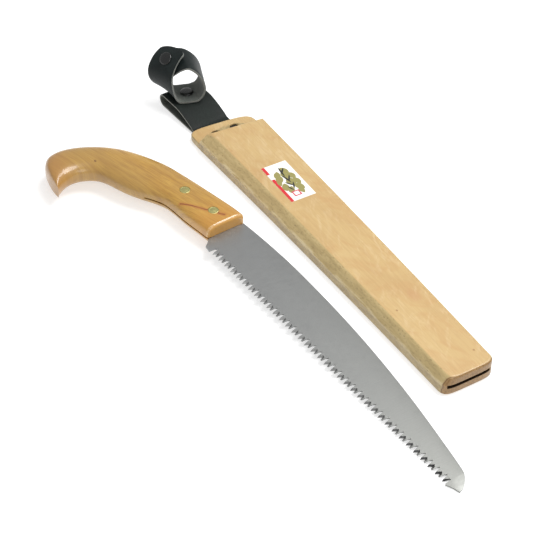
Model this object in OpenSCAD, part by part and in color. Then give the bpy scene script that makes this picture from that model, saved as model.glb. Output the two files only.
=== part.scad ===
// Fixed-blade pruning saw with a flat wooden belt sheath.
//
// Frame: the sheath lies on its back on z = 0. +X runs along it from the mouth to the
// drain end, +Y points to the spine side, and the origin is the middle of its back.
// The saw has a frame of its own, with the blade in its xy plane, and place_saw() lays
// it beside the sheath, resting on the handle's front edge and on the blade's point.

/* [Sheath] */
// Length of the front board, mouth to drain end
board_length = 298; // [292:1:306]
// How far the back board runs past the front board at the mouth
tongue_length = 19; // [18:0.5:24]
// Thickness of each board
board_t = 5.7; // [5.2:0.1:7]
// Height of the blade slot between the boards
slot_h = 2.6; // [2.2:0.1:3]
// Width of the blade slot at the mouth
slot_mouth_w = 41.2; // [40.6:0.2:42]
// Width of the blade slot at the drain end
slot_end_w = 33; // [32:0.5:34]

/* [Blade] */
// Thickness of the steel plate
blade_t = 1.2; // [1:0.1:1.3]
// Distance from one pair of teeth to the next
tooth_pair_pitch = 7; // [6.9:0.05:7.05]
// Height of the teeth from the deep gullets to the tips
tooth_depth = 6; // [5:0.25:6.5]

/* [Handle] */
// Thickness of the handle
handle_t = 19; // [18:0.5:22]
// Exponent of the handle's section: 2 is an oval, more is squarer
section_power = 2.6; // [2:0.1:4]
// The same exponent at the handle's front end
front_power = 5; // [2.6:0.2:6]
// Diameter of the handle's rivet heads
handle_rivet_d = 7.4; // [6.5:0.1:8]

/* [Hanger] */
// Width of the hanger strap
hanger_w = 30.5; // [28:0.5:32]
// Thickness of the hanger strap
hanger_t = 1.4; // [1.2:0.1:1.5]
// Inside height of the belt loop
loop_gap = 7.4; // [7:0.1:7.8]
// Angle of the hanger to the sheath in plan
hanger_skew = 3; // [0:0.5:4]

/* [Snap band] */
// Width of the band strap
band_w = 23; // [20:0.5:24]
// Thickness of the band strap
band_t = 1.8; // [1.6:0.1:2]
// Diameter of the snap cap
snap_cap_d = 10; // [9:0.5:13]
// Diameter of the swivel rivet's cap
swivel_cap_d = 10; // [8:0.5:11]

/* [Hidden] */
$fn = 64;

// ---- sheath ----
end_x = 159.5;                             // tip of the drain end
mouth_x = end_x - 0.5 - board_length;      // end of the front board
tongue_x = mouth_x - tongue_length;        // end of the back board
sheath_t = 2 * board_t + slot_h;
end_round = 12;                            // length of the rounded drain end
tongue_round = 13;                         // length of the rounded tongue end
mouth_slant = 0.1;                         // x gained per mm of y across the mouth
tongue_slant = 0.09;                       // x gained per mm of y across the tongue's end
end_power = 0.4;                           // exponent of the drain end's curve, less is squarer
tongue_power = 0.45;                       // exponent of the tongue end's curve
near_mouth = -25;                          // tooth-side edge at the mouth
near_end = -20;                            // tooth-side edge at the drain end
far_mouth = 26;                            // spine-side edge at the mouth
far_end = 20;                              // spine-side edge at the drain end
near_bow = -4.4;                           // curvature of the tooth-side edge
far_bow = -2.7;                            // curvature of the spine-side edge
bevel_mouth = 8;                           // width of the tooth-side bevel at the mouth
bevel_end = 4.5;                           // width of the bevel at the drain end
edge_round = 1.6;                          // softening of the other edges

// ---- strap fixing in the tongue ----
washer_t = 0.5;
rebate_depth = washer_t + 2 * hanger_t;
rebate_end_x = tongue_x + 18.5;
strap_y = -3.8;                            // centre of the strap at the tongue
strap_rivet_x = tongue_x + 10.5;
strap_rivet_ys = [-7.4, 8.1];
strap_rivet_d = 6.4;
strap_shank_d = 3.2;
counterbore_d = 7;
counterbore_depth = 1.4;

// ---- hanger ----
hinge_gap = 0.35;
hinge_x = tongue_x - 0.3 - hinge_gap - hanger_t - hanger_w / 2 * sin(hanger_skew);
hinge_z = washer_t + hanger_t;
loop_flat_end = 43.2;                       // from the hinge to the start of the fold
loop_rise_end = 25;                        // from the hinge to the flat upper layer
low_z = 0.2 + hanger_t / 2 - hinge_z;      // middle of the lower layer, from the hinge
high_z = low_z + loop_gap + hanger_t;      // middle of the upper layer, from the hinge
fold_r = (high_z - low_z) / 2;

// ---- swivel rivet ----
swivel_u = 33.7;                           // from the hinge, along the strap
swivel_gap = 0.25;
swivel_shank_d = 3.4;
swivel_bore_d = 3.54;
swivel_washer_d = 8;
swivel_washer_t = 0.7;
band_z = high_z + hanger_t / 2 + swivel_gap + band_t / 2;   // middle of the band's base

// ---- snap band, in its own frame: x along the loop's axis, y across it, z up ----
band_turn = -20 - hanger_skew;
// across, along and up, then the yaw and the lift of the strap's width
band_stations = [
    [-14.6, -8.6, 21.3, 12, -24],
    [-11.3, -8.0, 23.9, 12, -23],
    [ -5.9, -5.6, 27.6,  7, -15],
    [  0.6, -3.2, 29.0,  0,  -6],
    [  7.0, -2.0, 24.5, -4,   0],
    [ 11.0, -1.5, 17.5, -3,   2],
    [ 12.3, -1.0, 10.5,  0,   0],
    [ 11.1, -0.7,  5.2,  0,   0],
    [  8.4, -0.3,  1.6,  0,   0],
    [  4.8,  0.0,  0.0,  0,   0],
    [ -4.8,  0.0,  0.0,  0,   0],
    [ -9.4, -0.4,  1.1,  6,   3],
    [-13.7, -0.9,  4.2, 18,   8],
    [-17.2, -1.2,  9.0, 32,  11],
    [-19.0, -2.0, 15.5, 42,  10],
];
flap_stations = [
    [-19.0, -2.0, 15.5, 42,  10],
    [-17.8, -4.0, 22.0, 46,   6],
    [-13.4, -7.6, 28.2, 43,   5],
    [ -7.4,-10.8, 32.6, 38,   8],
    [ -0.6,-13.0, 34.6, 34,   9],
];
station_steps = 4;
flap_gap = 0.5;
flap_steps = 13;                           // steps along the flap's curve before it is cut off
tip_start = 11.2;                          // step where the flap's rounded tip starts
tip_length = 2.2;                          // length of the rounded tip, in steps

// ---- snap ----
snap_station = 2;                          // station of the flap that carries the snap
snap_shank_d = 3;
snap_bore_d = 3.1;
snap_bed = 0.3;                            // how far the cap is pressed into the flap
snap_stud_z = -band_t / 2 - 2.9;           // foot of the stud, from the flap's middle
snap_grip = 1.4;                           // strap held between the stud and its post
stud_d = 7;
stud_flange_t = 0.4;
knob_d = 3.6;
knob_h = 2.4;
post_flange_t = 0.6;
socket_d = 8;
socket_bore_d = 4.9;
socket_bore_h = 1.2;
socket_t = 1.4;
socket_z = -band_t / 2 - 0.1 - socket_t;   // foot of the socket, from the flap's middle
bed_slack = 0.1;                           // added to the diameter of each metal part's bed

// ---- saw, in its own frame ----
saw_at = [-54.7, -54.1];
saw_turn = 3.65;
handle_front_x = 11;
blade_tip = [283.5, -22];
saw_tilt = asin((handle_t / 2 - blade_t / 2) / (blade_tip[0] - handle_front_x));
saw_lift = handle_t / 2 * cos(saw_tilt) + handle_front_x * sin(saw_tilt);
kerf_t = blade_t + 0.1;
kerf_rear = [-50, -7];
kerf_front_y = 4;
tang_rear = [-46, -9];
tang_front_y = 3;
tang_low_y = -18;
first_gullet_x = 23.5;
gullet_count = 36;
shallow_depth = tooth_depth / 2;
tip_line_y = -27.9;                        // tooth tips at the first gullet
tip_line_rise = 2.4;                       // rise of the tips along the teeth
front_rivet_at = [-3.2, -7.8];
rear_rivet_at = [-32.2, -12.3];
rivet_barrel_d = 5;
rivet_pin_d = 3.6;
rivet_head_t = 1;

// Outline of the handle: upper edge, lower edge and half thickness at each station
handle_stations = [
    [   9.8,   8.8,    9.8, -21.9, 9.5],
    [   0.0,   7.7,    0.0, -23.1, 9.5],
    [ -13.0,   5.4,  -14.0, -25.0, 9.5],
    [ -26.0,   3.1,  -26.0, -25.8, 9.5],
    [ -39.0,   1.0,  -36.0, -27.4, 9.5],
    [ -51.0,  -1.0,  -44.5, -31.4, 9.5],
    [ -64.0,  -3.8,  -53.0, -36.8, 9.5],
    [ -76.0,  -8.4,  -62.0, -41.6, 9.5],
    [ -88.0, -14.4,  -71.0, -44.9, 9.5],
    [ -99.0, -21.8,  -79.5, -47.6, 9.5],
    [-108.2, -31.0,  -86.0, -50.8, 9.5],
    [-115.4, -41.0,  -89.8, -55.0, 9.5],
    [-120.8, -52.5,  -92.6, -60.5, 9.5],
    [-122.8, -63.0,  -93.6, -66.0, 9.5],
    [-120.6, -72.0,  -93.2, -70.8, 9.4],
    [-113.6, -78.0,  -91.8, -74.8, 9.0],
    [-104.0, -80.8,  -90.2, -78.2, 8.0],
    [ -96.0, -81.8,  -88.8, -80.6, 6.4],
    [ -89.0, -82.0,  -87.8, -82.0, 4.6],
];
handle_nose_r = 1.2;
handle_sides = 20;

// Back of the blade, from the nose to the handle
spine_points = [
    [282.5, -19.1], [280.3, -15.9], [275.5, -11.7], [269, -9.2], [240, -4], [210, 0.8], [180, 4.6],
    [150, 7.5], [120, 9.4], [90, 10.4], [60, 10.6], [30, 9.2], [11.5, 7.6],
];

// ---- shared functions ----
function catmull(a, b, c, d, t) =
    0.5 * (2 * b + (c - a) * t + (2 * a - 5 * b + 4 * c - d) * t * t
    + (3 * b - a - 3 * c + d) * t * t * t);

// A smooth curve through the points, with n steps from one to the next
function smooth(p, n) = let (last = len(p) - 1) concat(
    [for (i = [0:last - 1]) for (k = [0:n - 1])
        catmull(p[max(i - 1, 0)], p[i], p[i + 1], p[min(i + 2, last)], k / n)],
    [p[last]]);

function unit(v) = v / norm(v);
function power(v, p) = sign(v) * pow(abs(v), p);
function ease(t) = let (s = min(max(t, 0), 1)) s * s * (3 - 2 * s);

// A closed skin over rings of equal point counts
module skin(rings) {
    m = len(rings[0]);
    n = len(rings);
    sides = [for (i = [0:n - 2]) for (j = [0:m - 1])
        let (a = i * m + j, b = i * m + (j + 1) % m, c = a + m, d = b + m)
        each [[a, c, d], [a, d, b]]];
    caps = [[for (j = [0:m - 1]) j], [for (j = [m - 1:-1:0]) (n - 1) * m + j]];
    polyhedron(points = [for (r = rings) for (p = r) p], faces = concat(sides, caps), convexity = 8);
}

// ---- sheath outline ----
function along(x) = (x - mouth_x) / (end_x - end_round - mouth_x);
function bowed(a, b, bow, t) = a + (b - a - bow) * t + bow * t * t;
function near_y(x) = bowed(near_mouth, near_end, near_bow, max(along(x), 0));
function far_y(x) = bowed(far_mouth, far_end, far_bow, max(along(x), 0));
function bevel_w(x) = bevel_mouth + (bevel_end - bevel_mouth) * min(max(along(x), 0), 1);

// A rounded end: from the tooth side to the spine side for dir = 1, and back for dir = -1
function round_end(x0, depth, inset, near_inset, dir) =
    let (low = near_y(x0) + near_inset, high = far_y(x0) - inset,
         curve = dir < 0 ? tongue_power : end_power,
         slant = dir < 0 ? tongue_slant : 0)
    [for (a = [-80:20:80])
        let (y = (low + high) / 2 + dir * (high - low) / 2 * power(sin(a), curve))
        [x0 + dir * (depth - inset) * power(cos(a), curve) + slant * y, y]];

// The outline of the sheath, moved in by inset, and by bevel times its bevel width
// on the tooth side; with tongue = false it stops at the mouth
function sheath_outline(inset, bevel, tongue) =
    let (start = tongue ? tongue_x + tongue_round : mouth_x + inset,
         stop = end_x - end_round,
         xs = [for (k = [0:10]) start + (stop - start) * k / 10],
         slant = tongue ? 0 : mouth_slant)
    concat(
        [for (k = [0:10]) let (y = near_y(xs[k]) + inset + bevel * bevel_w(xs[k]))
            [xs[k] + (k == 0 ? slant * y : 0), y]],
        round_end(stop, end_round, inset, inset + bevel * bevel_end, 1),
        [for (k = [10:-1:0]) let (y = far_y(xs[k]) - inset)
            [xs[k] + (k == 0 ? slant * y : 0), y]],
        tongue ? round_end(start, tongue_round, inset, inset, -1) : []);

// The outline at height z
function layer(z, inset, bevel, tongue) = [for (p = sheath_outline(inset, bevel, tongue)) [p[0], p[1], z]];

module front_board() {
    corner = 0.3 * edge_round;             // where the rounding turns
    color([0.90, 0.78, 0.57])
    skin([
        layer(board_t + slot_h, 0, 0, false),
        layer(sheath_t - edge_round, 0, 1 - edge_round / board_t, false),
        layer(sheath_t - corner, corner, 1 - corner / board_t, false),
        layer(sheath_t, edge_round, 1, false),
    ]);
}

module back_board() {
    corner = 0.3 * edge_round;             // where the rounding turns
    color([0.86, 0.74, 0.53])
    difference() {
        skin([
            layer(0, edge_round, 0, true),
            layer(corner, corner, 0, true),
            layer(edge_round, 0, 0, true),
            layer(board_t, 0, 0, true),
        ]);
        translate([tongue_x - 5, strap_y - hanger_w / 2 - 0.3, -1])
            cube([rebate_end_x - tongue_x + 5, hanger_w + 0.6, rebate_depth + 1]);
        for (y = strap_rivet_ys) translate([strap_rivet_x, y, 0]) {
            cylinder(d = strap_shank_d + 0.1, h = board_t + 1);
            translate([0, 0, board_t - counterbore_depth])
                cylinder(d = counterbore_d, h = counterbore_depth + 1);
        }
    }
}

// Edge of the slot on one side: -1 is the tooth side, 1 is the spine side
function slot_edge(side) = let (mid = (near_y(mouth_x) + far_y(mouth_x)) / 2)
    [[mouth_x - 5, mid + side * slot_mouth_w / 2], [end_x + 5, -0.4 + side * slot_end_w / 2]];

module rail(side) {
    edge = slot_edge(side);
    color([0.78, 0.66, 0.46])
    translate([0, 0, board_t]) linear_extrude(slot_h) intersection() {
        polygon(sheath_outline(0, 0, false));
        polygon([edge[0], edge[1], edge[1] + [0, side * 40], edge[0] + [0, side * 40]]);
    }
}

module spine_rail() { rail(1); }

module tooth_rail() { rail(-1); }

module label() {
    color([0.95, 0.94, 0.90])
    translate([-63, 2.5, sheath_t]) rotate(-1.3)
        translate([-21.5, -10, 0]) cube([43, 20, 0.15]);
}

// ---- strap fixing ----
module strap_rivets() {
    color([0.45, 0.42, 0.36])
    for (y = strap_rivet_ys) translate([strap_rivet_x, y, 0]) {
        translate([0, 0, washer_t * 0.2]) cylinder(d = strap_shank_d, h = board_t - counterbore_depth);
        translate([0, 0, board_t - counterbore_depth]) cylinder(d = strap_rivet_d, h = 0.8);
    }
}

module strap_washers() {
    color([0.6, 0.58, 0.52])
    for (y = strap_rivet_ys) translate([strap_rivet_x, y, 0]) difference() {
        cylinder(d = strap_rivet_d, h = washer_t);
        translate([0, 0, -1]) cylinder(d = strap_shank_d, h = washer_t + 2);
    }
}

module strap_ends() {
    start = tongue_x - 0.3;
    color([0.15, 0.19, 0.19])
    difference() {
        translate([start, strap_y - hanger_w / 2, washer_t])
            cube([rebate_end_x - 0.3 - start, hanger_w, 2 * hanger_t]);
        for (y = strap_rivet_ys) translate([strap_rivet_x, y, 0])
            cylinder(d = strap_shank_d, h = board_t);
    }
}

// ---- hanger, in its own frame: u runs out from the hinge, z up from it ----
module place_hanger() {
    translate([hinge_x, strap_y, hinge_z]) rotate(180 + hanger_skew) children();
}

function upper_z(u) = let (t = min((u - 1) / (loop_rise_end - 1), 1))
    hanger_t / 2 + (high_z - hanger_t / 2) * ease((u - 1) / 4) * (1 - pow(1 - t, 1.4));
function lower_z(u) = -hanger_t / 2 + (low_z + hanger_t / 2) * ease((u - 1) / 10);

// The loop's outline, moved out by d from the middle of the strap, from u0 on
function loop_outline(d, u0) = concat(
    [for (k = [0:20]) let (u = u0 + (loop_flat_end - u0) * k / 20) [u, lower_z(u) - d]],
    [for (a = [-80:10:80])
        [loop_flat_end + (fold_r + d) * cos(a), (high_z + low_z) / 2 + (fold_r + d) * sin(a)]],
    [for (k = [20:-1:0]) let (u = u0 + (loop_flat_end - u0) * k / 20) [u, upper_z(u) + d]]);

module hanger_strap() {
    inner_start = 4;                       // where the two layers part
    color([0.15, 0.19, 0.19])
    place_hanger() difference() {
        rotate([90, 0, 0]) linear_extrude(hanger_w, center = true) difference() {
            union() {
                circle(r = hanger_t);
                polygon(loop_outline(hanger_t / 2, 0));
            }
            polygon(loop_outline(-hanger_t / 2, inner_start));
        }
        translate([swivel_u, 0, high_z - hanger_t]) cylinder(d = swivel_shank_d, h = 2 * hanger_t);
    }
}

module swivel_rivet() {
    base = high_z - hanger_t / 2 - swivel_washer_t;
    cap_z = band_z + band_t / 2 + swivel_gap;
    color([0.20, 0.21, 0.21])
    place_hanger() translate([swivel_u, 0, 0]) {
        translate([0, 0, base]) cylinder(d = swivel_shank_d, h = cap_z - base + 0.5);
        translate([0, 0, cap_z]) dome(swivel_cap_d, 1.6);
    }
}

module swivel_washer() {
    color([0.45, 0.45, 0.43])
    place_hanger() translate([swivel_u, 0, high_z - hanger_t / 2 - swivel_washer_t]) difference() {
        cylinder(d = swivel_washer_d, h = swivel_washer_t);
        translate([0, 0, -1]) cylinder(d = swivel_shank_d, h = swivel_washer_t + 2);
    }
}

// A flat-topped dome of diameter d and height h, standing on z = 0
module dome(d, h) {
    rotate_extrude() polygon(concat([[0, 0], [d / 2, 0]],
        [for (a = [0:15:75]) [d / 2 - 0.35 * h * (1 - cos(a)) * 3, h * 0.3 + h * 0.7 * sin(a)]],
        [[0, h]]));
}

// ---- snap band ----
module place_band() {
    place_hanger() translate([swivel_u, 0, band_z]) rotate(180 + band_turn) children();
}

function station_point(s) = [s[1], s[0], s[2]];
function station_width(s) = [cos(s[4]) * cos(s[3]), cos(s[4]) * sin(s[3]), sin(s[4])];
function step(path, i) =
    station_point(path[min(i + 1, len(path) - 1)]) - station_point(path[max(i - 1, 0)]);
function outward(path, i) = unit(cross(station_width(path[i]), step(path, i)));
function ribbon_ring(path, i, share = 1) =
    let (c = station_point(path[i]),
         w = station_width(path[i]) * share * band_w / 2,
         n = outward(path, i) * band_t / 2)
    [c - w - n, c - w + n, c + w + n, c + w - n];

module ribbon(path) {
    skin([for (i = [0:len(path) - 1]) ribbon_ring(path, i)]);
}

// The base of the band lies flat on the hanger
band_path = [for (s = smooth(band_stations, station_steps)) [s[0], s[1], max(s[2], 0), s[3], s[4]]];

// The flap starts a small gap past the end of the band
flap_curve = smooth(flap_stations, station_steps);
flap_first = flap_curve[0] + (flap_curve[1] - flap_curve[0]) * flap_gap
    / norm(station_point(flap_curve[1]) - station_point(flap_curve[0]));
flap_path = [for (i = [0:len(flap_curve) - 1]) i == 0 ? flap_first : flap_curve[i]];
function tip_share(i) = sqrt(1 - pow(max(i - tip_start, 0) / tip_length, 2));
snap_index = snap_station * station_steps;
snap_at = station_point(flap_path[snap_index]);
snap_axis = outward(flap_path, snap_index);

// Children stand on the flap's middle at the snap, with z along the snap's axis
module place_snap() {
    yaw = atan2(snap_axis[1], snap_axis[0]);
    place_band() translate(snap_at) rotate([0, acos(snap_axis[2]), yaw]) children();
}

module retention_band() {
    color([0.16, 0.20, 0.20])
    difference() {
        place_band() difference() {
            ribbon(band_path);
            translate([0, 0, -band_t]) cylinder(d = swivel_bore_d, h = 2 * band_t);
        }
        place_snap() {
            translate([0, 0, snap_stud_z - 2 * band_t]) cylinder(d = snap_bore_d, h = 3 * band_t);
            translate([0, 0, snap_stud_z]) cylinder(d = stud_d + bed_slack, h = band_t);
            translate([0, 0, snap_stud_z - snap_grip - 2 * band_t])
                cylinder(d = stud_d + bed_slack, h = 2 * band_t);
        }
    }
}

module band_flap() {
    color([0.14, 0.18, 0.18])
    difference() {
        place_band() skin([for (i = [0:flap_steps]) ribbon_ring(flap_path, i, tip_share(i))]);
        place_snap() {
            translate([0, 0, -band_t]) cylinder(d = snap_bore_d, h = 2 * band_t);
            translate([0, 0, socket_z]) cylinder(d = socket_d + bed_slack, h = socket_t + 0.05);
            translate([0, 0, band_t / 2 - snap_bed]) cylinder(d = snap_cap_d + bed_slack, h = band_t);
        }
    }
}

module snap_cap() {
    color([0.20, 0.21, 0.21])
    place_snap() {
        translate([0, 0, socket_z + socket_t]) cylinder(d = snap_shank_d, h = band_t);
        translate([0, 0, band_t / 2 - snap_bed]) dome(snap_cap_d, 1.8);
    }
}

module snap_socket() {
    color([0.45, 0.45, 0.43])
    place_snap() translate([0, 0, socket_z]) difference() {
        cylinder(d = socket_d, h = socket_t);
        translate([0, 0, -1]) cylinder(d = socket_bore_d, h = 1 + socket_bore_h);
    }
}

module snap_stud() {
    color([0.45, 0.45, 0.43])
    place_snap() translate([0, 0, snap_stud_z]) {
        cylinder(d = stud_d, h = stud_flange_t);
        cylinder(d = knob_d, h = knob_h);
    }
}

module snap_post() {
    color([0.45, 0.45, 0.43])
    place_snap() translate([0, 0, snap_stud_z - snap_grip - post_flange_t]) {
        cylinder(d = snap_shank_d, h = post_flange_t + snap_grip);
        cylinder(d = stud_d, h = post_flange_t);
    }
}

// ---- saw ----
module place_saw() {
    translate([saw_at[0], saw_at[1], saw_lift]) rotate([0, saw_tilt, saw_turn]) children();
}

function tip_y(x) = tip_line_y + tip_line_rise * (x - first_gullet_x) / (tooth_pair_pitch * gullet_count);

// One deep gullet and the pair of teeth after it
function tooth_pair(x) = let (y = tip_y(x), p = tooth_pair_pitch) [
    [x - 0.10 * p, y + 0.66 * tooth_depth],
    [x - 0.07 * p, y + 0.93 * tooth_depth],
    [x, y + tooth_depth],
    [x + 0.10 * p, y + 0.90 * tooth_depth],
    [x + 0.15 * p, y + 0.62 * tooth_depth],
    [x + 0.29 * p, y],
    [x + 0.41 * p, y + 0.30 * tooth_depth],
    [x + 0.52 * p, y + shallow_depth],
    [x + 0.71 * p, y + 0.1 * tooth_depth],
    [x + 0.82 * p, y + 0.36 * tooth_depth],
];

last_gullet_x = first_gullet_x + (gullet_count - 1) * tooth_pair_pitch;

function last_tooth(x) = let (y = tip_y(x), pair = tooth_pair(x)) concat(
    [for (k = [0:6]) pair[k]],
    [[x + 3.9, y + 0.9 * tooth_depth], [x + 4.6, y + 0.85 * tooth_depth], [x + 4.8, y + 0.12 * tooth_depth],
     [x + 5.4, y], [278.5, -23.4], blade_tip]);

module blade_outline() {
    polygon(concat(
        [[tang_rear[0], tang_low_y], [handle_front_x, tang_low_y],
         [11.5, -22.4], [13, -22.9], [15, -25.2], [16.6, -27.4], [21.4, -27.9]],
        [for (k = [0:gullet_count - 2]) each tooth_pair(first_gullet_x + k * tooth_pair_pitch)],
        last_tooth(last_gullet_x),
        smooth(spine_points, 2),
        [[handle_front_x, tang_front_y], tang_rear]));
}

module blade() {
    color([0.66, 0.67, 0.65])
    place_saw() difference() {
        translate([0, 0, -blade_t / 2]) linear_extrude(blade_t) blade_outline();
        for (p = [front_rivet_at, rear_rivet_at]) translate([p[0], p[1], -5])
            cylinder(d = rivet_barrel_d + 0.1, h = 10);
    }
}

function handle_ring(s, scale_in) =
    let (mid = [s[0] + s[2], s[1] + s[3]] / 2,
         half = [s[0] - s[2], s[1] - s[3]] / 2,
         across = half * (1 - scale_in / norm(half)),
         up = s[4] * handle_t / 19 - scale_in,
         square = section_power + (front_power - section_power) * ease((s[0] + 60) / 60))
    [for (j = [0:handle_sides - 1])
        let (a = 360 * (j + 0.5) / handle_sides,
             cx = power(cos(a), 2 / square),
             cz = power(sin(a), 2 / square))
        [mid[0] + across[0] * cx, mid[1] + across[1] * cx, up * cz]];

module handle() {
    first = handle_stations[0];
    front = [handle_front_x, first[1], handle_front_x, first[3], first[4]];
    color([0.76, 0.60, 0.36])
    place_saw() difference() {
        skin(concat([handle_ring(front, handle_nose_r)],
            [for (s = smooth(handle_stations, 2)) handle_ring(s, 0)]));
        translate([0, 0, -kerf_t / 2]) linear_extrude(kerf_t)
            polygon([kerf_rear, [kerf_rear[0], -60], [handle_front_x + 5, -60], [handle_front_x + 5, kerf_front_y]]);
        for (p = [front_rivet_at, rear_rivet_at]) translate([p[0], p[1], -handle_t]) {
            cylinder(d = rivet_barrel_d + 0.1, h = 2 * handle_t);
            cylinder(d = handle_rivet_d + 0.1, h = handle_t / 2 + rivet_head_t);
            translate([0, 0, 1.5 * handle_t - rivet_head_t])
                cylinder(d = handle_rivet_d + 0.1, h = handle_t);
        }
    }
}

// The upper half of a handle rivet: a head and a hollow barrel
module rivet_head(at) {
    color([0.70, 0.66, 0.42])
    place_saw() translate([at[0], at[1], 0]) difference() {
        union() {
            translate([0, 0, handle_t / 2 - rivet_head_t]) cylinder(d = handle_rivet_d, h = rivet_head_t);
            translate([0, 0, -3]) cylinder(d = rivet_barrel_d, h = handle_t / 2 + 3 - rivet_head_t);
        }
        translate([0, 0, -4]) cylinder(d = rivet_pin_d, h = handle_t / 2 + 1);
    }
}

// The lower half: a head and a pin that fills the barrel
module rivet_stud(at) {
    color([0.66, 0.62, 0.40])
    place_saw() translate([at[0], at[1], -handle_t / 2]) {
        cylinder(d = handle_rivet_d, h = rivet_head_t);
        cylinder(d = rivet_barrel_d, h = handle_t / 2 - 3);
        cylinder(d = rivet_pin_d, h = handle_t - 4);
    }
}

module front_rivet_head() { rivet_head(front_rivet_at); }

module front_rivet_stud() { rivet_stud(front_rivet_at); }

module rear_rivet_head() { rivet_head(rear_rivet_at); }

module rear_rivet_stud() { rivet_stud(rear_rivet_at); }

front_board();
back_board();
spine_rail();
tooth_rail();
label();
strap_rivets();
strap_washers();
strap_ends();
hanger_strap();
swivel_rivet();
swivel_washer();
retention_band();
snap_stud();
snap_post();
band_flap();
snap_cap();
snap_socket();
blade();
handle();
front_rivet_head();
front_rivet_stud();
rear_rivet_head();
rear_rivet_stud();
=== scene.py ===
"""Looks of a pruning saw and its wooden sheath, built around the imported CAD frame.

Shapes are worked out in millimetres, in the same frames as the CAD, and make() turns
them into metres. The row frame is the sheath's: +X from its mouth to its drain end,
+Y to its spine side, and z = 0 under its back.
"""

from math import acos, asin, atan2, cos, degrees, hypot, pi, radians, sin

import bmesh
import bpy
import numpy as np
from mathutils import Matrix, Vector
from mathutils.geometry import delaunay_2d_cdt


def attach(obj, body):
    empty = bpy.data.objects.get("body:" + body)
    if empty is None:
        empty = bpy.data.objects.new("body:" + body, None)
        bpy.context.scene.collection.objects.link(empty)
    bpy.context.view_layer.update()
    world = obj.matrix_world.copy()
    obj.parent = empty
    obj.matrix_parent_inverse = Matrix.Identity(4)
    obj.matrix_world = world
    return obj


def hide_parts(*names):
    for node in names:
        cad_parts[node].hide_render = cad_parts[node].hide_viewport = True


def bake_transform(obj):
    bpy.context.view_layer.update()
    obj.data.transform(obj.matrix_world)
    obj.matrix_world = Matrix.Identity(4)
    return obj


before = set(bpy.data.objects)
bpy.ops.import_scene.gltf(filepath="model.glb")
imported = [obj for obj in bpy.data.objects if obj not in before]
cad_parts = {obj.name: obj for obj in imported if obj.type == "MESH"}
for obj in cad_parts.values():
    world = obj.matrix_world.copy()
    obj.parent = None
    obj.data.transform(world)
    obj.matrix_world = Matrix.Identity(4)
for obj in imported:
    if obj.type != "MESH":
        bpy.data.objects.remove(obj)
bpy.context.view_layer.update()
MM = 0.001
LATHE_SIDES = 56
AXIS_R = 0.002  # profiles stop this close to their axis, so that the caps keep their points


# ---- shared shape tools ----
def catmull(a, b, c, d, t):
    """The point at share t from b to c of a Catmull-Rom curve through four points."""
    a, b, c, d = (np.asarray(p, float) for p in (a, b, c, d))
    cubic = 3 * b - a - 3 * c + d
    square = 2 * a - 5 * b + 4 * c - d
    return 0.5 * (2 * b + (c - a) * t + square * t ** 2 + cubic * t ** 3)


def curve_at(points, t):
    """The point at t stations along a smooth curve through the points."""
    last = len(points) - 1
    i = min(int(t), last - 1)
    return catmull(points[max(i - 1, 0)], points[i], points[i + 1], points[min(i + 2, last)], t - i)


def smooth(points, steps):
    """Points along the smooth curve, with that many steps from one given point to the next."""
    return [curve_at(points, k / steps) for k in range((len(points) - 1) * steps + 1)]


def squircle(angle, exponent):
    """The point of a superellipse with unit axes in a direction."""
    x, y = cos(radians(angle)), sin(radians(angle))
    r = (abs(x) ** exponent + abs(y) ** exponent) ** (-1 / exponent)
    return r * x, r * y


def ease(t):
    """A smooth step: 0 up to t = 0, and 1 from t = 1 on."""
    s = min(max(t, 0), 1)
    return s * s * (3 - 2 * s)


def unit(v):
    v = np.asarray(v, float)
    return v / np.linalg.norm(v)


def loft(rings):
    """Points and faces of a skin over closed rings of equal point counts, capped at both ends."""
    m = len(rings[0])
    points = [p for ring in rings for p in ring]
    faces = []
    for i in range(len(rings) - 1):
        for j in range(m):
            a, b = i * m + j, i * m + (j + 1) % m
            faces.append((a, b, b + m, a + m))
    faces.append(tuple(reversed(range(m))))
    faces.append(tuple(range((len(rings) - 1) * m, len(rings) * m)))
    return points, faces


def lathe(profile):
    """Points and faces of the profile [(radius, z)] turned about z, closed at both ends."""
    turns = [2 * pi * k / LATHE_SIDES for k in range(LATHE_SIDES)]
    profile = [(max(r, AXIS_R), z) for r, z in profile]
    return loft([[(r * cos(a), r * sin(a), z) for a in turns] for r, z in profile])


def placed(points, matrix):
    """The points moved from a part's own frame to the row frame."""
    return [matrix @ Vector(p) for p in points]


def linked(name, data):
    """A new object in the scene."""
    obj = bpy.data.objects.new(name, data)
    bpy.context.scene.collection.objects.link(obj)
    return obj


def make(name, points, faces, materials, angle=38, face_slots=None):
    """A mesh object from points in millimetres, smooth but for edges sharper than angle."""
    mesh = bpy.data.meshes.new(name)
    mesh.from_pydata([Vector(p) * MM for p in points], [], faces)
    for m in materials:
        mesh.materials.append(m)
    if face_slots is not None:
        mesh.polygons.foreach_set("material_index", face_slots)
    tidy(mesh, angle)
    return linked(name, mesh)


def tidy(mesh, angle):
    """Merges doubled points, turns the faces outward and shades them, flat where they are caps."""
    bm = bmesh.new()
    bm.from_mesh(mesh)
    bmesh.ops.remove_doubles(bm, verts=bm.verts, dist=1e-7)
    bmesh.ops.recalc_face_normals(bm, faces=bm.faces)
    bm.to_mesh(mesh)
    bm.free()
    mesh.polygons.foreach_set("use_smooth", [len(p.vertices) <= 4 for p in mesh.polygons])
    mesh.set_sharp_from_angle(angle=radians(angle))
    mesh.update()


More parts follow.
